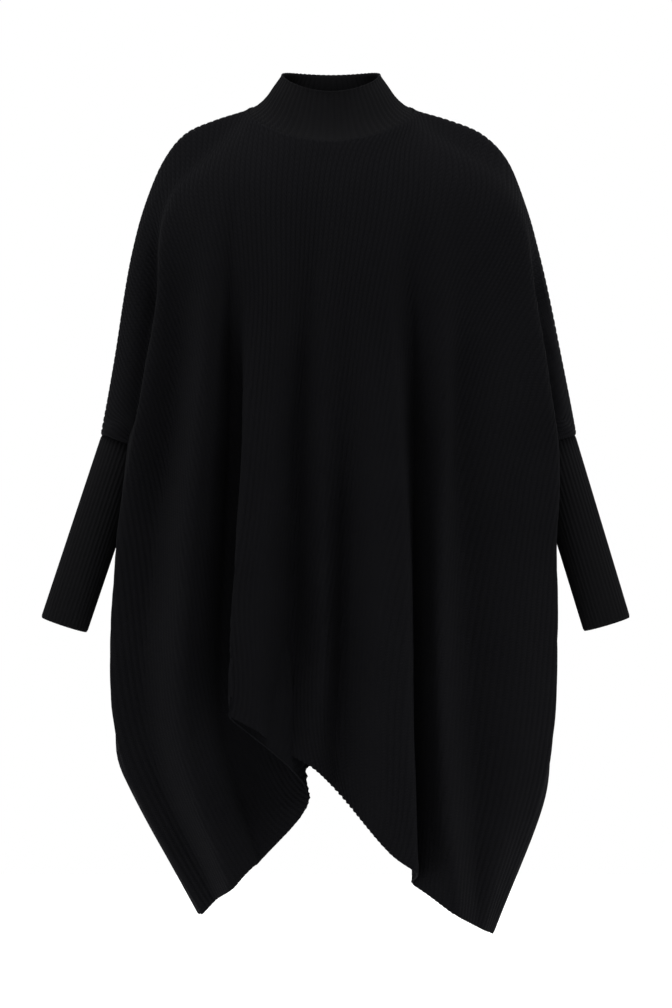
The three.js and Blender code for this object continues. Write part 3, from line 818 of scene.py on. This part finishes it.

# %% [markdown]
# ## Black knit
#
# Black wool isn't quite black, and it is a touch blue. A flat dark colour would hide the folds,
# so the colour varies with the yarn: a random tone, plus painted shade that darkens it between the
# stitches. The cloth is matt. Light that grazes it meets the fuzz of fibres that stand off the
# yarn, which is why the outline of the garment is paler than its middle: that is the sheen. The
# collar and sleeves have a finer rib, which looks slightly paler.

# %% Knit materials
PANEL_YARN = {"deep": (0.0028, 0.0028, 0.0034, 1), "pale": (0.0085, 0.0085, 0.0098, 1), "fuzz": 0.008}
RIB_YARN = {"deep": (0.0036, 0.0036, 0.0041, 1), "pale": (0.0110, 0.0110, 0.0120, 1), "fuzz": 0.010}
FUZZ_TINT = (0.75, 0.78, 0.85, 1)
FUZZ_ROUGHNESS = 0.45
YARN_ROUGHNESS = 0.95
YARN_SHINE = 0.03
YARN_BUMP = {"strength": 0.6, "depth": 0.0005}
SLEEVE_GIRTH = 0.200
COLLAR_GIRTH = 0.550


def knit_material(name, yarn, pitch):
    material = bpy.data.materials.new(name)
    material.use_nodes = True
    tree = material.node_tree
    shader = tree.nodes["Principled BSDF"]
    cut = tree.nodes.new("ShaderNodeUVMap")
    cut.uv_map = "cut"
    pattern = tree.nodes.new("ShaderNodeGroup")
    pattern.node_tree = stitches
    pattern.inputs["Rib pitch"].default_value = pitch
    tree.links.new(cut.outputs["UV"], pattern.inputs["Cut"])
    colours = tree.nodes.new("ShaderNodeMix")
    colours.data_type = "RGBA"
    colours.clamp_factor = True
    # The factor mixes a random yarn tone with painted shade between the stitches.
    tree.links.new(pattern.outputs["Tone and shade"], colours.inputs["Factor"])
    colours.inputs["A"].default_value = yarn["deep"]
    colours.inputs["B"].default_value = yarn["pale"]
    tree.links.new(colours.outputs["Result"], shader.inputs["Base Color"])
    bump = tree.nodes.new("ShaderNodeBump")
    bump.inputs["Strength"].default_value = YARN_BUMP["strength"]
    bump.inputs["Distance"].default_value = YARN_BUMP["depth"]
    tree.links.new(pattern.outputs["Relief"], bump.inputs["Height"])
    tree.links.new(bump.outputs["Normal"], shader.inputs["Normal"])
    shader.inputs["Roughness"].default_value = YARN_ROUGHNESS
    shader.inputs["Specular IOR Level"].default_value = YARN_SHINE
    shader.inputs["Sheen Weight"].default_value = yarn["fuzz"]
    shader.inputs["Sheen Roughness"].default_value = FUZZ_ROUGHNESS
    shader.inputs["Sheen Tint"].default_value = FUZZ_TINT
    return material


panel_knit = knit_material("panel_knit", PANEL_YARN, RIB_PITCH)
sleeve_knit = knit_material("sleeve_knit", RIB_YARN, SLEEVE_GIRTH / SLEEVE_RIBS)
collar_knit = knit_material("collar_knit", RIB_YARN, COLLAR_GIRTH / COLLAR_RIBS)

# %% [markdown]
# ## Front and back
#
# Each is one wide rectangle of rib knit with a scoop for the neck, linked to the other along the
# shoulders and down the sides. The rectangle's lower corners fall as the two points of the hem.

# %% Front and back
pieces = {
    "front": knit_panel("front", -1, panel_knit),
    "back": knit_panel("back", 1, panel_knit),
}

# %% [markdown]
# ## Collar
#
# The collar is picked up all round the neck and worked upwards with fewer stitches in each
# course, so it starts wide on the shoulders and closes in to a short stand.

# %% Collar
COLLAR_HEIGHT = 0.070
pieces["collar"] = knit_tube("collar_knit", COLLAR_RIBS, collar_places, COLLAR_GIRTH,
                             COLLAR_HEIGHT, RIM_CHAIN, collar_knit)

# %% [markdown]
# ## Sleeves
#
# A sleeve begins at the elbow, because the wide body already covers the upper arm. It is a slim
# tube of rib down to the wrist, linked to the opening that front and back leave at the side.

# %% Sleeves
def sleeve_form(sleeve):
    return lambda turn, along: sleeve_places(sleeve, turn, along)


for name, sleeve in SLEEVES.items():
    pieces["sleeve_" + name] = knit_tube(f"sleeve_{name}_knit", SLEEVE_RIBS, sleeve_form(sleeve),
                                         SLEEVE_GIRTH, sleeve["length"] * MM, CAST_OFF,
                                         sleeve_knit)

# %% [markdown]
# ## Dressing the frame
#
# Each piece of cloth stands for the solid of the same cut piece. Nothing on the garment moves, so
# all five ride on the one body.

# %% Dress the frame
for node, piece in pieces.items():
    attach(piece, "root")
    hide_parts(node)
    print(piece.name, "vertices", len(piece.data.vertices))

# %% [markdown]
# ## Floor
#
# The garment was photographed in a white room, over pale paper. A curved backdrop would do the
# same, but a plain square of paper is simpler. It lies 10 cm under the hem's lower point, and it
# glows a little itself, so no shadow greys it.

# %% Floor
FLOOR_Z = -1.120
FLOOR_SIZE = 1.5
FLOOR_GLOW = 0.55
PAPER_COLOUR = (0.85, 0.85, 0.85, 1)
PAPER_ROUGHNESS = 0.95
GLOW_COLOUR = (1, 1, 1, 1)


def paper_floor():
    bm = bmesh.new()
    bmesh.ops.create_grid(bm, x_segments=1, y_segments=1, size=FLOOR_SIZE)
    bmesh.ops.translate(bm, verts=bm.verts[:], vec=(0, 0, FLOOR_Z))
    mesh = bpy.data.meshes.new("floor")
    bm.to_mesh(mesh)
    bm.free()
    floor = bpy.data.objects.new("floor", mesh)
    bpy.context.collection.objects.link(floor)
    paper = bpy.data.materials.new("paper")
    paper.use_nodes = True
    shader = paper.node_tree.nodes["Principled BSDF"]
    shader.inputs["Base Color"].default_value = PAPER_COLOUR
    shader.inputs["Roughness"].default_value = PAPER_ROUGHNESS
    shader.inputs["Emission Color"].default_value = GLOW_COLOUR
    shader.inputs["Emission Strength"].default_value = FLOOR_GLOW
    mesh.materials.append(paper)
    return floor


paper_floor()

# %% [markdown]
# ## Walls of light
#
# White walls at both sides and behind give most of the light, and almost none comes from beside
# the camera. So the hollows of the folds go nearly black, and the outline stays clear. Large
# lamps could stand for the walls, but they would show in the picture's corners. So the walls
# are the world's own light, which fades from one strength to the next by its direction: x is
# how far to the side it comes from, and y how far behind.

# %% Walls of light
WALL_LIGHT = {"front": 0.03, "side": 1.12, "behind": 1.0}
SIDE_FADE = (0.45, 0.85)
BEHIND_FADE = (-0.15, 0.25)
WALL_WHITE = (1, 1, 1, 1)


def map_range(tree, value, low, high, start, end):
    node = tree.nodes.new("ShaderNodeMapRange")
    node.interpolation_type = "SMOOTHSTEP"
    for socket, given in zip(node.inputs, (value, low, high, start, end)):
        if isinstance(given, (int, float)):
            socket.default_value = given
        else:
            tree.links.new(given, socket)
    return node.outputs["Result"]


def white_room():
    world = bpy.data.worlds.new("white_room")
    world.use_nodes = True
    tree = world.node_tree
    where = tree.nodes.new("ShaderNodeTexCoord")
    parts = tree.nodes.new("ShaderNodeSeparateXYZ")
    tree.links.new(where.outputs["Generated"], parts.inputs[0])
    aside = math_node(tree, "ABSOLUTE", parts.outputs["X"])
    ahead = map_range(tree, aside, *SIDE_FADE, WALL_LIGHT["front"], WALL_LIGHT["side"])
    strength = map_range(tree, parts.outputs["Y"], *BEHIND_FADE, ahead, WALL_LIGHT["behind"])
    tree.links.new(strength, tree.nodes["Background"].inputs["Strength"])
    tree.nodes["Background"].inputs["Color"].default_value = WALL_WHITE
    return world


bpy.context.scene.world = white_room()

# %% [markdown]
# ## Front light
#
# One broad soft light hangs high in front of the garment. It falls on the shoulders, the chest
# and the inside of the collar, and reaches less far down into the folds.

# %% Front light
FRONT_LIGHT = {"place": (0, -1.3, 2.2), "aim": (0, 0, -0.2), "size": 1.2, "power": 56}


def front_light():
    data = bpy.data.lights.new("front_light", "AREA")
    data.size = FRONT_LIGHT["size"]
    data.energy = FRONT_LIGHT["power"]
    light = bpy.data.objects.new("front_light", data)
    light.location = FRONT_LIGHT["place"]
    towards = Vector(FRONT_LIGHT["aim"]) - Vector(FRONT_LIGHT["place"])
    light.rotation_euler = towards.to_track_quat("-Z", "Y").to_euler()
    bpy.context.collection.objects.link(light)


front_light()
bpy.context.scene.view_settings.view_transform = "Standard"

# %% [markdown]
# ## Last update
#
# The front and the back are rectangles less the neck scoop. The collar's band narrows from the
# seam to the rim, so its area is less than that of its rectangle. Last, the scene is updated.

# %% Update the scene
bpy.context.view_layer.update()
